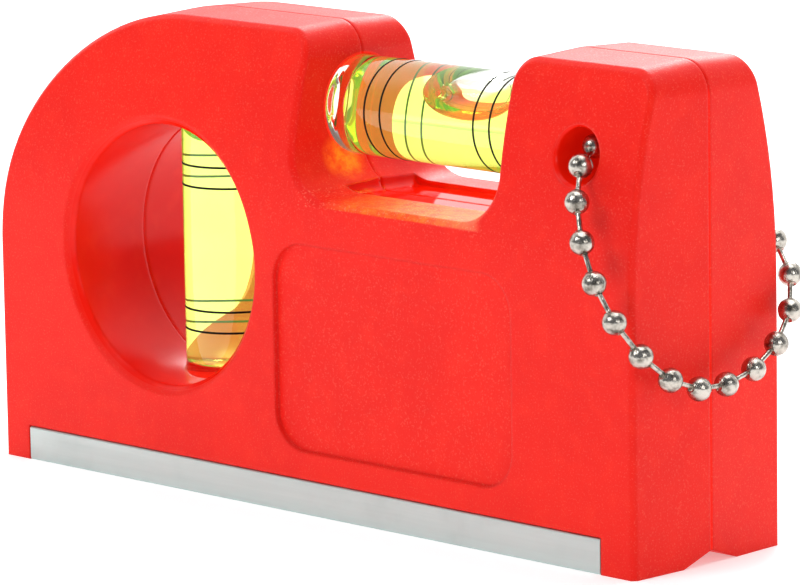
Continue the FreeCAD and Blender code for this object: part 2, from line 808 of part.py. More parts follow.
def ball_chain():
    spots = chain_places()
    count = len(spots)
    radius = value("bead_radius")
    hole = value("bead_hole_radius")
    clasped = int(value("clasp_bead"))
    ways = [(spots[(i + 1) % count] - spots[i - 1]).normalize() for i in range(count)]
    beads = [bead(spot, way) for spot, way in zip(spots, ways)]
    links = []
    for first in range(count):
        if first == clasped:
            continue
        last = (first + 1) % count
        way = (spots[last] - spots[first]).normalize()
        floor = way * (radius - value("link_depth") - value("link_end_gap"))
        seat = way * (radius - value("link_depth"))
        outside = way * 2 * radius
        beads[first] = beads[first].cut(rod(spots[first] + floor, spots[first] + outside, hole))
        beads[last] = beads[last].cut(rod(spots[last] - floor, spots[last] - outside, hole))
        links.append(rod(spots[first] + seat, spots[last] - seat, value("link_radius")))
    place_shape("beads", Part.makeCompound(beads), "chain_beads")
    place_shape("links", Part.makeCompound(links), "chain_links")
    place_shape("clasp", clasp(spots[clasped], spots[clasped + 1]), "chain_clasp")


# A slit sleeve over two neighbouring beads, with a mouth at each end for the links.
def clasp(start, stop):
    way = (stop - start).normalize()
    inner = value("bead_radius") + value("clasp_clearance")
    outer = inner + value("clasp_wall")
    mouth = way * 2 * outer
    sleeve = rod(start - way * outer, stop + way * outer, outer, "clasp_sides")
    sleeve = sleeve.cut(rod(start - way * inner, stop + way * inner, inner, "clasp_sides"))
    sleeve = sleeve.cut(rod(start - mouth, stop + mouth, value("clasp_mouth_radius"), "clasp_sides"))
    slot_width = value("clasp_slot")
    corner = FreeCAD.Vector(-slot_width / 2, 0, -2 * outer)
    slot = Part.makeBox(slot_width, 2 * outer, (stop - start).Length + 4 * outer, corner)
    outward = FreeCAD.Vector(0, 1, 0)
    aim = FreeCAD.Rotation(way.cross(outward) * -1, outward, way, "ZXY")
    slot.Placement = FreeCAD.Placement(start, aim)
    return sleeve.cut(slot)


def place_shape(name, shape, label):
    item = doc.addObject("Part::Feature", name)
    item.Shape = shape
    item.Label = label
    item.Placement = FreeCAD.Placement(FreeCAD.Vector(-value("length") / 2, 0, 0), FreeCAD.Rotation())
    pieces.append(item)


shells()
edge_strips()
vials()
ball_chain()
doc.recompute()

for item in doc.Objects:
    if "Invalid" in item.State or "Error" in item.State:
        raise RuntimeError("%s did not compute: %s" % (item.Name, item.State))
for item in pieces:
    if item.Shape.isNull() or not item.Shape.isValid() or not item.Shape.Solids:
        raise RuntimeError("%s has no sound solid" % item.Label)

os.makedirs("parts", exist_ok=True)
for item in pieces:
    item.Shape.exportStep("parts/%s.step" % item.Label)
    box = item.Shape.optimalBoundingBox()
    print("%-20s solids %2d  volume %9.2f  X %6.2f..%6.2f  Y %6.2f..%6.2f  Z %6.2f..%6.2f" % (
        item.Label, len(item.Shape.Solids), item.Shape.Volume, box.XMin, box.XMax,
        box.YMin, box.YMax, box.ZMin, box.ZMax))
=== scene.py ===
import math
import bmesh
import bpy
from mathutils import Matrix, Vector


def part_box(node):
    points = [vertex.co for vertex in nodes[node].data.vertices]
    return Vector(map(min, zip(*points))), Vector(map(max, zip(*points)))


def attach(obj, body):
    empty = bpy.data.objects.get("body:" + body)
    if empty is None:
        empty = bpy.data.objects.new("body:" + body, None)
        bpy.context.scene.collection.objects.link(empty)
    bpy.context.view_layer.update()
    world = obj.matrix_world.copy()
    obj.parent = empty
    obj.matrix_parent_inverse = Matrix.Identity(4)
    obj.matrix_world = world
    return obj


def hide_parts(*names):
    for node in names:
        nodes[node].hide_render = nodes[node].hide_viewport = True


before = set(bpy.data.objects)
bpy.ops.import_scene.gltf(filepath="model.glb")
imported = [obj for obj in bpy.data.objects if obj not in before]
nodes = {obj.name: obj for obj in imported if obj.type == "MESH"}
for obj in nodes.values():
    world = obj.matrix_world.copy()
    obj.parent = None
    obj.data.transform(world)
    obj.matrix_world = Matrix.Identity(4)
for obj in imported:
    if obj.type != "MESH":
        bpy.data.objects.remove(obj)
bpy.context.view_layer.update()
scene = bpy.context.scene
print("frame loaded:", len(nodes), "nodes")

mm = 0.001
mergeReach = 1e-7    # corners nearer than this are one
alongX = Matrix.Identity(4)
alongZ = Matrix.Rotation(math.radians(-90), 4, "Y")


def middleOf(name):
    low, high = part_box(name)
    return (low + high) / 2


# A number coming out of a node. Adding, multiplying and so on adds the Math node for it.
class Value:
    def __init__(self, board, socket):
        self.board = board
        self.socket = socket

    def step(self, operation, *terms, clamp=False):
        return self.board.add("Math", {"operation": operation, "use_clamp": clamp},
                              dict(enumerate(terms)))

    def __add__(self, other):
        return self.step("ADD", self, other)

    def __radd__(self, other):
        return self.step("ADD", other, self)

    def __sub__(self, other):
        return self.step("SUBTRACT", self, other)

    def __rsub__(self, other):
        return self.step("SUBTRACT", other, self)

    def __mul__(self, other):
        return self.step("MULTIPLY", self, other)

    def __rmul__(self, other):
        return self.step("MULTIPLY", other, self)

    def __truediv__(self, other):
        return self.step("DIVIDE", self, other)

    def __pow__(self, other):
        return self.step("POWER", self, other)

    def __abs__(self):
        return self.step("ABSOLUTE", self)

    # 0 where the value is below low, 1 above high, and a smooth rise between
    def rise(self, low, high):
        return self.board.add("MapRange", {"interpolation_type": "SMOOTHSTEP"}, {
            "Value": self, "From Min": low, "From Max": high}, "Result")

    # 1 below low, 0 above high
    def fall(self, low, high):
        return 1 - self.rise(low, high)

    # 1 where the value lies between low and high, with soft ends
    def within(self, low, high, soft):
        return self.rise(low - soft, low) * self.fall(high, high + soft)

    def clipped(self):
        return self.step("ADD", self, 0.0, clamp=True)


# A node tree, to which each node is added by its type, its settings and its sockets.
class Board:
    def __init__(self, tree):
        self.tree = tree

    def add(self, kind, settings, sockets, output=0):
        node = self.tree.nodes.new("ShaderNode" + kind)
        for key, setting in settings.items():
            setattr(node, key, setting)
        for key, content in sockets.items():
            self.feed(node.inputs[key], content)
        return Value(self, node.outputs[output])

    def feed(self, socket, content):
        if isinstance(content, Value):
            self.tree.links.new(content.socket, socket)
        else:
            socket.default_value = content

    # the first colour where the amount is 0, the second where it is 1
    def mix(self, amount, first, second):
        return self.add("Mix", {"data_type": "RGBA"}, {0: amount, 6: first, 7: second}, 2)


# One material: a Principled shader with patterns on the piece's own coordinates.
class Finish(Board):
    def __init__(self, name, **sockets):
        self.material = bpy.data.materials.new(name)
        self.material.use_nodes = True
        super().__init__(self.material.node_tree)
        self.shader = self.tree.nodes["Principled BSDF"]
        self.place = self.add("TexCoord", {}, {}, "Object")
        self.set(**sockets)

    # sets or links the shader's sockets: BaseColor stands for Base Color
    def set(self, **sockets):
        for key, content in sockets.items():
            words = "".join(" " + c if c.isupper() else c for c in key).strip()
            self.feed(self.shader.inputs[words.replace("I O R", "IOR")], content)

    # cloudy noise from 0 to 1, with its cells of the given size in millimetres
    def clouds(self, cell, detail=2.0, roughness=0.5, place=None):
        return self.add("TexNoise", {}, {"Vector": place or self.place, "Scale": 1 / (cell * mm),
                                         "Detail": detail, "Roughness": roughness}, "Fac")

    # the piece's own coordinates, with a pattern's scale along x, y or z changed
    def stretched(self, **amounts):
        scale = [amounts.get(axis, 1.0) for axis in "xyz"]
        return self.add("Mapping", {}, {"Vector": self.place, "Scale": scale}, "Vector")

    def bump(self, height, depth, strength=1.0, normal=None):
        sockets = {"Height": height, "Distance": depth * mm, "Strength": strength}
        if normal:
            sockets["Normal"] = normal
        return self.add("Bump", {}, sockets, "Normal")

    def softEdges(self, radius):
        return self.add("Bevel", {"samples": 6}, {"Radius": radius * mm}, "Normal")

    # the piece's own coordinates, in millimetres
    def axes(self):
        node = self.add("SeparateXYZ", {}, {"Vector": self.place}).socket.node
        return [Value(self, node.outputs[axis]) / mm for axis in "XYZ"]


# How far a place is from a point, in as many directions as both are given in.
def away(place, point):
    squares = [(here - there) ** 2 for here, there in zip(place, point)]
    return sum(squares[1:], squares[0]) ** 0.5


def rgb(red, green, blue):
    def linear(level):
        level = level / 255
        return level / 12.92 if level <= 0.04045 else ((level + 0.055) / 1.055) ** 2.4
    return (linear(red), linear(green), linear(blue), 1.0)


black = rgb(0, 0, 0)

# The body's features that have a look of their own, in millimetres. A fade starts at the
# first distance and is done at the second.
bodyFeatures = {
    "windowFade": (14.1, 14.6),
    "eyeletPlace": (37.85, 40.9),
    "eyeletFade": (2.9, 3.2),
    "trayAcross": (1.3, 24.9),
    "trayDeepFade": (5.02, 5.07),
    "trayUp": (32.2, 34.2),
    "traySoft": 0.1,
    "lipAcross": (1.0, 24.6),
    "lipAcrossSoft": 1.5,
    "lipFront": (5.1, 10.8),
    "lipUp": (32.4, 33.6),
    "lipSoft": 0.3,
    "seamFade": (0.096, 0.16),
    "seamTopFade": (46.0, 48.0),
}


# Masks that are 1 on a feature and 0 away from it.
def bodyZones(axes):
    sizes = bodyFeatures
    across, deep, up = axes
    plumb = middleOf("plumb_vial_tube") / mm
    window = away((across, up), (plumb.x, plumb.z)).fall(*sizes["windowFade"])
    eyelet = away((across, up), sizes["eyeletPlace"]).fall(*sizes["eyeletFade"])
    tray = abs(deep).fall(*sizes["trayDeepFade"])
    tray = tray * across.within(*sizes["trayAcross"], sizes["traySoft"])
    tray = tray * up.within(*sizes["trayUp"], sizes["traySoft"])
    lip = (0 - deep).within(*sizes["lipFront"], sizes["lipSoft"])
    lip = lip * across.within(*sizes["lipAcross"], sizes["lipAcrossSoft"])
    lip = lip * up.within(*sizes["lipUp"], sizes["lipSoft"])
    seam = abs(deep).fall(*sizes["seamFade"]) * up.fall(*sizes["seamTopFade"])
    return window, eyelet, tray, lip, seam


# Painted light on the plastic: an orange glow painted where the vials' light falls, on the corner
# below the cross vial's left end and on the notch's front lip, and a red glow painted where light
# shines through the seats' thin walls, in the eyelet and on the seam, where it lightens the seam's
# shade.
paintedPlasticGlow = {
    "orange": rgb(255, 128, 20),
    "red": rgb(255, 40, 14),
    "strength": 0.42,
    "cornerPlace": (-1.0, -3.2, 36.2),
    "cornerFade": (0.66, 3.3),
    "cornerAmount": 1.1,
    "lipAcross": (9.5, 21.0),
    "lipAcrossSoft": 7.0,
    "lipAmount": 0.55,
    "patches": (1.3, 3.0, 0.7),
    "patchRise": (0.3, 0.7),
    "leastInPatches": 0.25,
    "floorRise": (32.2, 32.4),
    "seatFade": (5.4, 5.5),
    "seatPlay": 0.3,
    "seatSoft": 0.1,
    "crossSeatDepth": 2.1,
    "plumbSeatDepth": 2.0,
    "eyeletGlow": 0.25,
    "seamEndRise": (44.0, 45.5),
    "seamEndGlow": 0.7,
    "seamWindowGlow": 0.15,
}


def orangeLight(finish, axes, lip):
    look = paintedPlasticGlow
    across, deep, up = axes
    corner = away(axes, look["cornerPlace"]).fall(*look["cornerFade"]) * look["cornerAmount"]
    lip = lip * across.within(*look["lipAcross"], look["lipAcrossSoft"]) * look["lipAmount"]
    patches = finish.clouds(*look["patches"]).rise(*look["patchRise"])
    least = look["leastInPatches"]
    return ((corner + lip) * (least + patches * (1 - least)) * up.rise(*look["floorRise"])).clipped()


# The two seats of a tube: rings round its axis, from just past its ends to the seats' depth.
def tubeSeats(axes, tube, along, depth):
    look = paintedPlasticGlow
    low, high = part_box(tube)
    middle = middleOf(tube) / mm
    start, end = low[along] / mm, high[along] / mm
    beside = [axis for axis in range(3) if axis != along]
    ring = away([axes[axis] for axis in beside], [middle[axis] for axis in beside])
    outer = axes[along].within(start - look["seatPlay"], end + look["seatPlay"], look["seatSoft"])
    between = axes[along].within(start + depth, end - depth, look["seatSoft"])
    return ring.fall(*look["seatFade"]) * outer * (1 - between)


# Painted red glow: in the seats, in the eyelet, and on the seam at the end and in the window, where
# it lightens the seam's shade.
def redLight(axes, window, eyelet, seam):
    look = paintedPlasticGlow
    seats = tubeSeats(axes, "cross_vial_tube", 0, look["crossSeatDepth"])
    seats = seats + tubeSeats(axes, "plumb_vial_tube", 2, look["plumbSeatDepth"])
    end = axes[0].rise(*look["seamEndRise"])
    # the painted glow on the seam lightens the shade of its groove
    seam = seam * (end * look["seamEndGlow"] + window * look["seamWindowGlow"])
    return (seats + eyelet * look["eyeletGlow"] + seam).clipped()


# Plastic of the moulded body: fine grain outside with painted glints on its peaks, polished in the
# window, the eyelet and the tray under the cross vial. A noise has its cell in millimetres, detail
# and roughness.
redPlastic = {
    "body": rgb(243, 27, 8),
    "pale": rgb(248, 44, 20),
    "deep": rgb(235, 20, 5),
    "paintedGlint": rgb(255, 150, 120),
    "reflection": 0.2,
    "edge": 0.55,
    "blush": (14.0, 3.0),
    "blushRise": (0.35, 0.7),
    "patches": (2.2, 2.0),
    "patchRise": (0.45, 0.8),
    "patchAmount": 0.35,
    "grain": (0.2, 1.0, 0.6),
    "grainDepth": 0.026,
    "waves": (7.0, 2.0),
    "waveAmount": 0.6,
    "paintedGlintRise": (0.56, 0.72),
    "paintedGlintAmount": 0.12,
    "lipPaintedGlintAmount": 0.35,
    "paleLipRise": (15.0, 25.0),
    "paleLipAmount": 0.3,
    "roughness": 0.43,
    "glintRoughness": 0.1,
    "wear": (5.0, 4.0, 0.6),
    "wearRoughness": 0.08,
    "windowRoughness": 0.24,
    "eyeletRoughness": 0.15,
    "trayRoughness": 0.05,
}


def mouldedPlastic():
    look = redPlastic
    finish = Finish("redMouldedPlastic", SpecularIORLevel=look["reflection"],
                    EmissionStrength=paintedPlasticGlow["strength"])
    axes = finish.axes()
    window, eyelet, tray, lip, seam = bodyZones(axes)
    grained = 1 - (window + eyelet + tray).clipped()
    orange = orangeLight(finish, axes, lip)
    red = redLight(axes, window, eyelet, seam)

    blush = finish.clouds(*look["blush"]).rise(*look["blushRise"])
    patches = finish.clouds(*look["patches"]).rise(*look["patchRise"])
    tone = finish.mix(blush, look["deep"], look["body"])
    tone = finish.mix(patches * look["patchAmount"], tone, look["pale"])
    # the orange glow is painted into the base colour and the emission, and the red glow into the
    # emission
    tone = finish.mix(orange, tone, paintedPlasticGlow["orange"])
    light = finish.mix(orange, black, paintedPlasticGlow["orange"])
    finish.set(EmissionColor=finish.mix(red, light, paintedPlasticGlow["red"]))

    grain = finish.clouds(*look["grain"])
    # painted glints: the grain's peaks, where the roughness is also less, are painted in a pale
    # glint colour, more on the notch's lip
    paintedGlint = grain.rise(*look["paintedGlintRise"])
    paintedGlints = paintedGlint * grained * (look["paintedGlintAmount"] + lip * look["lipPaintedGlintAmount"])
    # a painted pale sheen on the right part of the notch's lip, in the glint colour
    paleLip = lip * axes[0].rise(*look["paleLipRise"]) * look["paleLipAmount"]
    finish.set(BaseColor=finish.mix((paintedGlints + paleLip).clipped(), tone, look["paintedGlint"]))

    wear = finish.clouds(*look["wear"]) * look["wearRoughness"]
    rough = (look["roughness"] - paintedGlint * look["glintRoughness"] + wear) * grained
    rough = rough + window * look["windowRoughness"] + eyelet * look["eyeletRoughness"]
    finish.set(Roughness=rough + tray * look["trayRoughness"])
    waves = finish.clouds(*look["waves"]) * look["waveAmount"]
    edges = finish.softEdges(look["edge"])
    height = grain * grained + waves * window
    finish.set(Normal=finish.bump(height, look["grainDepth"], normal=edges))
    return finish


# Bare metal of the two base strips: sawn along its length, slightly dented and stained.
stripMetal = {
    "metal": rgb(204, 215, 212),
    "dull": rgb(172, 182, 179),
    "edge": 0.15,
    "sawing": (0.5, 3.0, 0.6),
    "sawingAlong": 0.03,
    "sawingDepth": 0.012,
    "sawingDull": 0.25,
    "sawingRoughness": 0.12,
    "stain": (9.0, 4.0, 0.6),
    "stainRise": (0.5, 0.8),
    "stainDull": 0.3,
    "stainRoughness": 0.06,
    "roughness": 0.42,
    "dents": (6.0, 2.0),
    "dentDepth": 0.02,
    "dentStrength": 0.8,
    "pits": (1.1, 1.0),
    "pitRise": (0.68, 0.8),
    "pitAmount": 0.35,
}


def sawnMetal():
    look = stripMetal
    finish = Finish("bareStripMetal", Metallic=1.0)
    sawing = finish.clouds(*look["sawing"], place=finish.stretched(x=look["sawingAlong"]))
    stain = finish.clouds(*look["stain"])
    dull = stain.rise(*look["stainRise"]) * look["stainDull"] + sawing * look["sawingDull"]
    finish.set(BaseColor=finish.mix(dull.clipped(), look["metal"], look["dull"]))
    finish.set(Roughness=look["roughness"] + sawing * look["sawingRoughness"]
               + stain * look["stainRoughness"])
    pits = finish.clouds(*look["pits"]).rise(*look["pitRise"]) * look["pitAmount"]
    dents = finish.clouds(*look["dents"])
    edges = finish.softEdges(look["edge"])
    dented = finish.bump(dents - pits, look["dentDepth"], look["dentStrength"], edges)
    finish.set(Normal=finish.bump(sawing, look["sawingDepth"], normal=dented))
    return finish


# Bright nickel of the chain, a little uneven and darker in patches, with fine streaks.
nickel = {
    "bright": rgb(196, 190, 180),
    "warm": rgb(104, 98, 88),
    "patches": (0.9, 3.0),
    "patchRise": (0.4, 0.75),
    "roughness": 0.17,
    "patchRoughness": 0.14,
    "streaks": (0.35, 3.0, 0.6),
    "streakUp": 0.18,
    "streakDepth": 0.06,
    "waves": (1.2, 2.0),
    "waveDepth": 0.1,
    "waveStrength": 0.9,
}


def plating():
    look = nickel
    finish = Finish("nickelPlating", Metallic=1.0)
    patches = finish.clouds(*look["patches"])
    finish.set(BaseColor=finish.mix(patches.rise(*look["patchRise"]), look["bright"], look["warm"]))
    finish.set(Roughness=look["roughness"] + patches * look["patchRoughness"])
    streaks = finish.clouds(*look["streaks"], place=finish.stretched(z=look["streakUp"]))
    waves = finish.bump(finish.clouds(*look["waves"]), look["waveDepth"], look["waveStrength"])
    finish.set(Normal=finish.bump(streaks, look["streakDepth"], normal=waves))
    return finish


# Clear acrylic of the vials, their liquid, air and print. The liquid's IOR is given relative
# to the acrylic round it, and the bubbles' relative to the liquid.
vialLook = {
    "acrylic": rgb(252, 255, 250),
    "acrylicIOR": 1.49,
    "haze": (6.0, 2.0),
    "hazeRise": (0.6, 0.9),
    "hazeRoughness": 0.02,
    "waves": (3.0, 1.0),
    "waveDepth": 0.02,
    "waveStrength": 0.4,
    "liquid": rgb(228, 238, 106),
    "liquidIOR": 0.913,
    "glow": rgb(176, 255, 132),
    "glowStrength": 0.11,
    "clear": rgb(255, 255, 252),
    "drift": (5.0, 2.0),
    "clearInDrift": 0.08,
    "liquidInDrift": 0.2,
    "contactHalf": (7.0, 3.9),
    "contactFade": (0.8, 1.0),
    "contactRise": (0.65, 0.75),
    "air": rgb(255, 255, 250),
    "paleAir": rgb(248, 255, 236),
    "airIOR": 0.735,
    "airPatches": (4.0, 2.0),
    "airPatchAmount": 0.2,
    "ink": rgb(10, 12, 10),
    "paleInk": rgb(22, 24, 20),
    "inkReflection": 0.15,
    "inkGrain": (0.3, 2.0),
    "inkRoughness": 0.6,
    "inkGrainRoughness": 0.2,
}


def clearAcrylic():
    look = vialLook
    finish = Finish("clearAcrylic", BaseColor=look["acrylic"], TransmissionWeight=1.0,
                    IOR=look["acrylicIOR"])
    haze = finish.clouds(*look["haze"]).rise(*look["hazeRise"])
    finish.set(Roughness=haze * look["hazeRoughness"])
    waves = finish.clouds(*look["waves"])
    finish.set(Normal=finish.bump(waves, look["waveDepth"], look["waveStrength"]))
    return finish


def vialLiquid():
    look = vialLook
    finish = Finish("greenVialLiquid", TransmissionWeight=1.0, IOR=look["liquidIOR"], Roughness=0.0,
                    EmissionStrength=look["glowStrength"])
    across, deep, up = finish.axes()
    bubble = middleOf("cross_vial_bubble") / mm
    axis = middleOf("cross_vial_tube") / mm
    halfLong, halfWide = look["contactHalf"]
    above, done = look["contactRise"]
    off = ((across - bubble.x) / halfLong) ** 2 + (deep / halfWide) ** 2
    # where the bubble touches the top of its bore there is no liquid to be seen
    bare = off.fall(*look["contactFade"]) * up.rise(axis.z + above, axis.z + done)
    drift = finish.clouds(*look["drift"])
    tint = finish.mix(drift * look["clearInDrift"], look["liquid"], look["clear"])
    finish.set(BaseColor=finish.mix(bare, tint, look["clear"]))
    # the liquid glows with painted light, leaning to the liquid's own colour in the drifts
    shine = finish.mix(drift * look["liquidInDrift"], look["glow"], look["liquid"])
    finish.set(EmissionColor=finish.mix(bare, shine, black))
    return finish


def vialAir():
    look = vialLook
    finish = Finish("bubbleAir", TransmissionWeight=1.0, IOR=look["airIOR"], Roughness=0.0)
    patches = finish.clouds(*look["airPatches"]) * look["airPatchAmount"]
    finish.set(BaseColor=finish.mix(patches, look["air"], look["paleAir"]))
    return finish


def lineInk():
    look = vialLook
    finish = Finish("printedLineInk", SpecularIORLevel=look["inkReflection"])
    grain = finish.clouds(*look["inkGrain"])
    finish.set(BaseColor=finish.mix(grain, look["ink"], look["paleInk"]))
    finish.set(Roughness=look["inkRoughness"] + grain * look["inkGrainRoughness"])
    return finish


# Puts a finish on a CAD node that is kept.
def dress(name, finish):
    node = nodes[name]
    node.data.materials.clear()
    node.data.materials.append(finish.material)


red = mouldedPlastic()
metal = sawnMetal()
chrome = plating()
acrylic = clearAcrylic()
liquid = vialLiquid()
air = vialAir()
ink = lineInk()
for name in ("front_shell", "rear_shell"):
    dress(name, red)
for name in ("front_edge_strip", "rear_edge_strip"):
    dress(name, metal)
print("finishes made")


# Turns a bmesh into a piece with smooth faces that breaks only at sharp edges.
def piece(name, mesh, finish, body, slot, *replaced, sharp=40, shadow=True):
    bmesh.ops.remove_doubles(mesh, verts=mesh.verts, dist=mergeReach)
    bmesh.ops.recalc_face_normals(mesh, faces=mesh.faces)
    data = bpy.data.meshes.new(name)
    mesh.to_mesh(data)
    mesh.free()
    data.shade_smooth()
    data.set_sharp_from_angle(angle=math.radians(sharp))
    data.materials.append(finish.material)
    thing = bpy.data.objects.new(name, data)
    thing.visible_shadow = shadow
    scene.collection.objects.link(thing)
    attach(thing, body)
    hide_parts(*replaced)


# Spins a run of (along, radius) corners, in millimetres, round the X axis.
def spun(mesh, corners, steps=96, closed=False):
    line = [mesh.verts.new((along * mm, 0, radius * mm)) for along, radius in corners]
    joints = list(zip(line, line[1:])) + ([(line[-1], line[0])] if closed else [])
    edges = [mesh.edges.new(pair) for pair in joints]
    bmesh.ops.spin(mesh, geom=line + edges, cent=(0, 0, 0), axis=(1, 0, 0), dvec=(0, 0, 0),
                   angle=math.tau, steps=steps, use_merge=True)
    bmesh.ops.remove_doubles(mesh, verts=mesh.verts, dist=mergeReach)


# Rounds the edges that turn by more than least, in degrees.
def roundEdges(mesh, width, least=50, segments=4):
    sharp = [edge for edge in mesh.edges
             if len(edge.link_faces) == 2 and edge.calc_face_angle(0) > math.radians(least)]
    bmesh.ops.bevel(mesh, geom=sharp, offset=width * mm, offset_type="OFFSET", affect="EDGES",
                    segments=segments, profile=0.5, material=-1)


# Both vials: a solid acrylic bar with the liquid's chamber in it, and four printed lines.
vialSizes = {
    "length": 32.2,
    "radius": 5.15,
    "endCorners": ((0.55, 0), (0.55, 0.9), (0, 1.5), (0, 4.25), (0.75, 5.15)),
    "rimRound": 0.3,
    "chamber": (3.4, 30.6),
    "chamberSteps": 12,
    "boreRadius": 4.05,
    "boreBarrel": 0.12,
    "chamberRound": 0.5,
    "lineInner": 5.12,
    "lineOuter": 5.175,
    "lineWidth": 0.23,
    "lineStarts": (7.15, 9.38, 22.58, 24.81),
}


# The liquid's chamber, widest in its middle, where the bubble rests.
def chamberOutline():
    sizes = vialSizes
    first, last = sizes["chamber"]
    steps = sizes["chamberSteps"]
    outline = [(first, 0)]
    for step in range(steps + 1):
        share = step / steps
        narrowing = sizes["boreBarrel"] * (2 * share - 1) ** 2
        outline.append((first + (last - first) * share, sizes["boreRadius"] - narrowing))
    return outline + [(last, 0)]


def vial(prefix, turn):
    sizes = vialSizes
    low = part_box(prefix + "_vial_tube")[0]
    middle = middleOf(prefix + "_vial_tube")
    start = (low.x, 0, middle.z) if turn == alongX else (middle.x, 0, low.z)
    place = Matrix.Translation(start) @ turn

    # the clear pieces cast no shadow, because light passes through them to the walls beside
    tube = bmesh.new()
    spun(tube, [*sizes["endCorners"], (sizes["length"], sizes["radius"]), (sizes["length"], 0)])
    roundEdges(tube, sizes["rimRound"], least=30)
    bmesh.ops.transform(tube, matrix=place, verts=tube.verts)
    piece(prefix + "VialBody", tube, acrylic, "level", "clear_acrylic",
          prefix + "_vial_tube", prefix + "_vial_plug", shadow=False)

    chamber = bmesh.new()
    spun(chamber, chamberOutline())
    roundEdges(chamber, sizes["chamberRound"])
    bmesh.ops.transform(chamber, matrix=place, verts=chamber.verts)
    piece(prefix + "VialLiquid", chamber, liquid, "level", "green_liquid",
          prefix + "_vial_liquid", shadow=False)

    lines = bmesh.new()
    for begin in sizes["lineStarts"]:
        end = begin + sizes["lineWidth"]
        spun(lines, [(begin, sizes["lineInner"]), (end, sizes["lineInner"]),
                     (end, sizes["lineOuter"]), (begin, sizes["lineOuter"])], closed=True)
    bmesh.ops.transform(lines, matrix=place, verts=lines.verts)
    piece(prefix + "VialLines", lines, ink, "level", "black_ink", prefix + "_vial_lines", sharp=30)


vial("cross", alongX)
vial("plumb", alongZ)
print("vials made")

# The bubbles: a long one pressed flat against the top of its bore, and a cap at the top end.
bubbleSizes = {
    "crossHalf": (6.3, 3.2, 2.12),
    "crossTop": 4.0,
    "plumbRadius": 3.72,
    "plumbHeight": 3.3,
    "plumbRound": 1.5,
}


def crossBubble():
    sizes = bubbleSizes
    half = [size * mm for size in sizes["crossHalf"]]
    top = sizes["crossTop"] * mm
    mesh = bmesh.new()
    bmesh.ops.create_uvsphere(mesh, u_segments=64, v_segments=40, radius=1.0,
                              matrix=Matrix.Rotation(math.radians(90), 4, "Y"))
    bmesh.ops.transform(mesh, matrix=Matrix.Diagonal((*half, 1.0)), verts=mesh.verts)
    bmesh.ops.translate(mesh, vec=(0, 0, top - half[2]), verts=mesh.verts)
    # what stands past the bore's wall is drawn in to it
    for vert in mesh.verts:
        reach = math.hypot(vert.co.y, vert.co.z)
        if reach > top:
            vert.co.y *= top / reach
            vert.co.z *= top / reach
    place = (middleOf("cross_vial_bubble").x, 0, middleOf("cross_vial_tube").z)
    bmesh.ops.translate(mesh, vec=place, verts=mesh.verts)
    piece("crossBubble", mesh, air, "cross_bubble", "air", "cross_vial_bubble",
          sharp=60, shadow=False)


def plumbBubble():
    sizes = bubbleSizes
    radius, height = sizes["plumbRadius"], sizes["plumbHeight"]
    mesh = bmesh.new()
    spun(mesh, [(0, 0), (0, radius), (height, radius), (height, 0)], steps=64)
    roundEdges(mesh, sizes["plumbRound"], segments=6)
    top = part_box("plumb_vial_bubble")[1].z
    start = (middleOf("plumb_vial_bubble").x, 0, top - height * mm)
    bmesh.ops.transform(mesh, matrix=Matrix.Translation(start) @ alongZ, verts=mesh.verts)
    piece("plumbBubble", mesh, air, "plumb_bubble", "air", "plumb_vial_bubble",
          sharp=60, shadow=False)


crossBubble()
plumbBubble()
print("bubbles made")

# The ball chain: pressed beads with a seam and a hole at each end, short wires and a sleeve.
chainSizes = {
    "bead": 1.23,
    "beadTurn": 2.4,        # from one bead's seam to the next, in radians
    "holeRadius": 0.42,
    "holeFloor": 0.72,      # of the bead's radius
    "seamDepth": 0.035,     # of the bead's radius
    "seamHalf": 0.01,       # half the seam's width, in radians
    "wire": 0.26,
    "wireInBead": 0.42,
    "claspInner": 1.3,
    "claspOuter": 1.58,
    "claspHalf": 3.6,
    "claspBend": 1.6,       # of the clasp's wall
    "claspMouth": 1.0,
    "claspLip": (0.1, 0.12),
    "claspRound": 0.05,
    "claspSlot": 38.0,
    "claspReach": 1.2,
}


# Middles of the separate solids of a CAD node, found on a merged copy of its mesh.
def solidMiddles(name):
    mesh = bmesh.new()
    mesh.from_mesh(nodes[name].data)
    bmesh.ops.remove_doubles(mesh, verts=mesh.verts, dist=1e-6)
    seen = set()
    middles = []
    for first in mesh.verts:
        if first in seen:
            continue
        seen.add(first)
        queue = [first]
        found = []
        while queue:
            vert = queue.pop()
            found.append(vert.co.copy())
            beside = [edge.other_vert(vert) for edge in vert.link_edges]
            fresh = [other for other in beside if other not in seen]
            seen.update(fresh)
            queue.extend(fresh)
        low = Vector([min(spot[axis] for spot in found) for axis in range(3)])
        high = Vector([max(spot[axis] for spot in found) for axis in range(3)])
        middles.append((low + high) / 2)
    mesh.free()
    return middles


# The beads' middles in the order in which the chain runs through them.
def chainRun(middles):
    run = [middles[0]]
    left = middles[1:]
    while left:
        nearest = min(left, key=lambda spot: (spot - run[-1]).length)
        left.remove(nearest)
        run.append(nearest)
    return run


# Places a shape on a spot, with its Z axis turned to the way given.
def aimed(spot, way):
    return Matrix.Translation(spot) @ Vector((0, 0, 1)).rotation_difference(way).to_matrix().to_4x4()


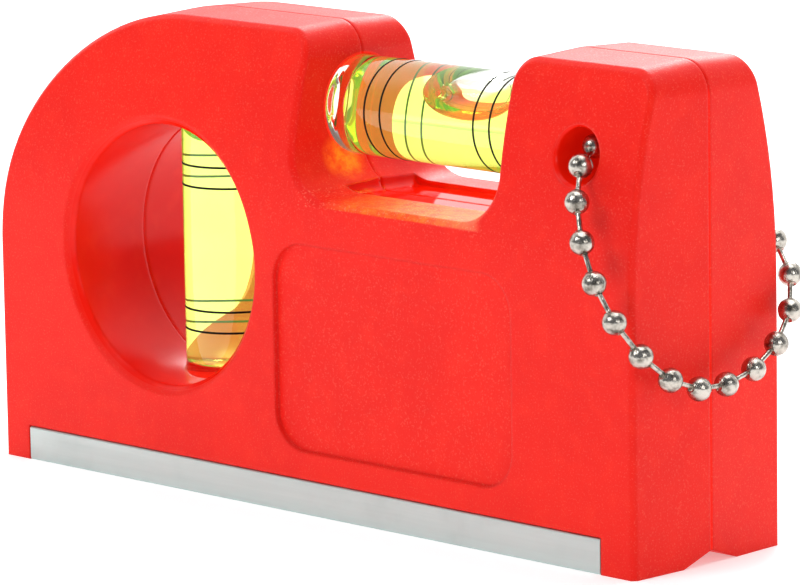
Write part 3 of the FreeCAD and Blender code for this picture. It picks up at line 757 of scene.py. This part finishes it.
def addBead(mesh, place, turn):
    sizes = chainSizes
    made = bmesh.ops.create_uvsphere(mesh, u_segments=28, v_segments=20, radius=sizes["bead"] * mm,
                                     matrix=Matrix.Identity(4))
    beadVerts = made["verts"]
    hole = sizes["holeRadius"] * mm
    poles = [vert for vert in beadVerts if math.hypot(vert.co.x, vert.co.y) < mergeReach]
    for pole in poles:
        rim = [edge.other_vert(pole) for edge in pole.link_edges]
        wide = math.hypot(rim[0].co.x, rim[0].co.y)
        for vert in rim:
            vert.co.x *= hole / wide
            vert.co.y *= hole / wide
        pole.co.z *= sizes["holeFloor"]
    # a pressed seam runs from hole to hole on the side that faces along X
    for vert in beadVerts:
        side = abs(math.atan2(vert.co.y, vert.co.x))
        if side < sizes["seamHalf"] and math.hypot(vert.co.x, vert.co.y) > hole + mergeReach:
            vert.co *= 1 - sizes["seamDepth"]
    matrix = place @ Matrix.Rotation(turn, 4, "Z")
    bmesh.ops.transform(mesh, matrix=matrix, verts=beadVerts)


# A split tube with rounded-in mouths: half of its wall's outline is mirrored, and then spun.
def chainClasp(spot, way):
    sizes = chainSizes
    inner, outer, mouth = sizes["claspInner"], sizes["claspOuter"], sizes["claspMouth"]
    bend = (outer - inner) * sizes["claspBend"]
    lipLong, lipThick = sizes["claspLip"]
    half = sizes["claspHalf"]
    right = [(half - bend, outer), (half, mouth), (half - lipLong, mouth - lipThick),
             (half - bend - lipLong, inner)]
    left = [(-along, radius) for along, radius in reversed(right)]
    sleeve = bmesh.new()
    line = [sleeve.verts.new((0, radius * mm, along * mm)) for along, radius in right + left]
    wall = sleeve.faces.new(line)
    around = math.tau - math.radians(sizes["claspSlot"])
    bmesh.ops.spin(sleeve, geom=line + list(wall.edges) + [wall], cent=(0, 0, 0), axis=(0, 0, 1),
                   dvec=(0, 0, 0), angle=around, steps=48, use_merge=False)
    roundEdges(sleeve, sizes["claspRound"], least=40, segments=2)
    bmesh.ops.transform(sleeve, matrix=aimed(spot, way), verts=sleeve.verts)
    piece("chainClasp", sleeve, chrome, "chain", "plated_steel", "chain_clasp", sharp=45)


def ballChain():
    sizes = chainSizes
    run = chainRun(solidMiddles("chain_beads"))
    claspSpot = middleOf("chain_clasp")
    beads = bmesh.new()
    wires = bmesh.new()
    for number, spot in enumerate(run):
        after = run[(number + 1) % len(run)]
        addBead(beads, aimed(spot, after - run[number - 1]), number * sizes["beadTurn"])
        middle = (spot + after) / 2
        if (middle - claspSpot).length < sizes["claspReach"] * mm:
            claspWay = after - spot     # the clasp joins these two beads, so no wire is made
            continue
        length = (after - spot).length - 2 * (sizes["bead"] - sizes["wireInBead"]) * mm
        bmesh.ops.create_cone(wires, cap_ends=True, segments=14, radius1=sizes["wire"] * mm,
                              radius2=sizes["wire"] * mm, depth=length,
                              matrix=aimed(middle, after - spot))
    piece("chainBeads", beads, chrome, "chain", "plated_steel", "chain_beads", sharp=45)
    piece("chainWires", wires, chrome, "chain", "plated_steel", "chain_links", sharp=45)
    chainClasp(claspSpot, claspWay)


ballChain()
print("chain made")

# Studio: pale floor, a white backdrop of light behind, a dimmer sky and soft lamps in front,
# above, at the right and behind.
studio = {
    "floor": rgb(250, 250, 250),
    "floorSize": 6.0,
    "floorGlow": 0.34,
    "floorRoughness": 0.75,
    "floorReflection": 0.1,
    "specks": (60.0, 3.0),
    "speck": rgb(244, 244, 245),
    "speckAmount": 0.2,
    "sky": rgb(98, 100, 104),
    "backdrop": rgb(255, 255, 255),
    "backdropWay": (-0.62, 0.78, 0.1),
    "backdropRise": (0.05, 0.5),
    "skyStrength": 1.35,
    "lamps": [
        # name, place, aim, size, watts
        ("keyLamp", (-0.25, -0.9, 0.75), (0, 0, 0.02), 0.5, 4.8),
        ("topLamp", (0.05, 0.1, 1.0), (0, 0, 0.02), 0.8, 4.3),
        ("sideLamp", (1.0, -0.15, 0.4), (0.02, 0, 0.02), 0.4, 1.6),
        ("backLamp", (-0.5, 0.75, 0.5), (0, 0, 0.03), 0.35, 3.9),
    ],
}


def studioFloor():
    finish = Finish("paleFloor", Roughness=studio["floorRoughness"],
                    SpecularIORLevel=studio["floorReflection"],
                    EmissionColor=studio["floor"], EmissionStrength=studio["floorGlow"])
    specks = finish.clouds(*studio["specks"]) * studio["speckAmount"]
    finish.set(BaseColor=finish.mix(specks, studio["floor"], studio["speck"]))
    mesh = bmesh.new()
    bmesh.ops.create_grid(mesh, x_segments=1, y_segments=1, size=studio["floorSize"] / 2)
    data = bpy.data.meshes.new("studioFloor")
    mesh.to_mesh(data)
    mesh.free()
    data.materials.append(finish.material)
    thing = bpy.data.objects.new("studioFloor", data)
    scene.collection.objects.link(thing)


# The world's light: the backdrop's colour towards the backdrop, and the sky's elsewhere.
def studioSky():
    world = bpy.data.worlds.new("studioSky")
    world.use_nodes = True
    scene.world = world
    board = Board(world.node_tree)
    way = board.add("TexCoord", {}, {}, "Generated")
    backdropWay = Vector(studio["backdropWay"]).normalized()
    facing = board.add("VectorMath", {"operation": "DOT_PRODUCT"}, {0: way, 1: backdropWay}, "Value")
    color = board.mix(facing.rise(*studio["backdropRise"]), studio["sky"], studio["backdrop"])
    background = board.tree.nodes["Background"]
    board.feed(background.inputs["Color"], color)
    board.feed(background.inputs["Strength"], studio["skyStrength"])


def studioLamps():
    for name, place, aim, size, watts in studio["lamps"]:
        data = bpy.data.lights.new(name, "AREA")
        data.shape = "DISK"
        data.size = size
        data.energy = watts
        lamp = bpy.data.objects.new(name, data)
        lamp.location = place
        lamp.rotation_euler = (Vector(aim) - Vector(place)).to_track_quat("-Z", "Y").to_euler()
        scene.collection.objects.link(lamp)


# Camera: long lens from the front right, a little above.
cameraView = {
    "lens": 253.9,
    "sensor": 36.0,
    "nearest": 0.01,
    "place": (0.408305, -0.404874, 0.126419),
    "yaw": 44.967,
    "down": 10.326,
    "roll": -0.934,
}


def photoCamera():
    look = cameraView
    data = bpy.data.cameras.new("photoCamera")
    data.lens = look["lens"]
    data.sensor_width = look["sensor"]
    data.sensor_fit = "HORIZONTAL"
    data.clip_start = look["nearest"]
    camera = bpy.data.objects.new("photoCamera", data)
    scene.collection.objects.link(camera)
    turn = Matrix.Rotation(math.radians(look["yaw"]), 4, "Z")
    tilt = Matrix.Rotation(math.radians(90 - look["down"]), 4, "X")
    roll = Matrix.Rotation(math.radians(look["roll"]), 4, "Z")
    camera.matrix_world = Matrix.Translation(look["place"]) @ turn @ tilt @ roll
    scene.camera = camera


studioFloor()
studioSky()
studioLamps()
photoCamera()
scene.view_settings.view_transform = "Standard"
print("studio ready")
